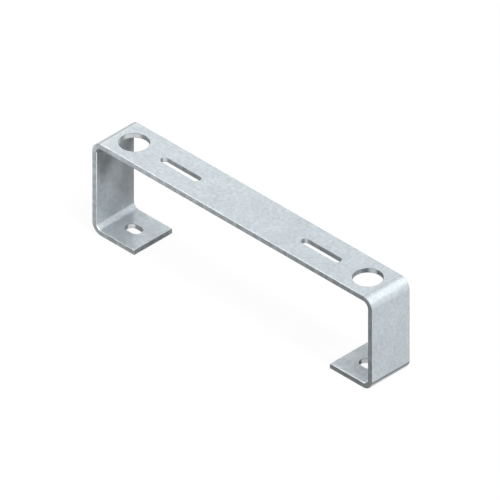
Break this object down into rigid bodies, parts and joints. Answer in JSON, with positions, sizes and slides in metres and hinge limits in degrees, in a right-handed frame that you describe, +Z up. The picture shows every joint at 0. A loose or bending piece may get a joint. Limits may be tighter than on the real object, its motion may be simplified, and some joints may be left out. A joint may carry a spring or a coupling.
{
  "type": "raised mounting bracket",
  "caption": "Flat strip folded into a raised bridge with inturned slotted feet, round access holes above them and long slots in its top.",
  "frame": {"origin": "middle of the bracket on the mounting surface under its feet", "axes": "+X along the strip from one leg to the other, +Y across the strip, +Z up to the top face"},
  "size_m": [0.213, 0.029, 0.06],
  "materials": {
    "galvanised_steel": "strip-galvanised, satin, finely mottled"
  },
  "bodies": {
    "root": {"bracket": "galvanised_steel"}
  },
  "joints": []
}
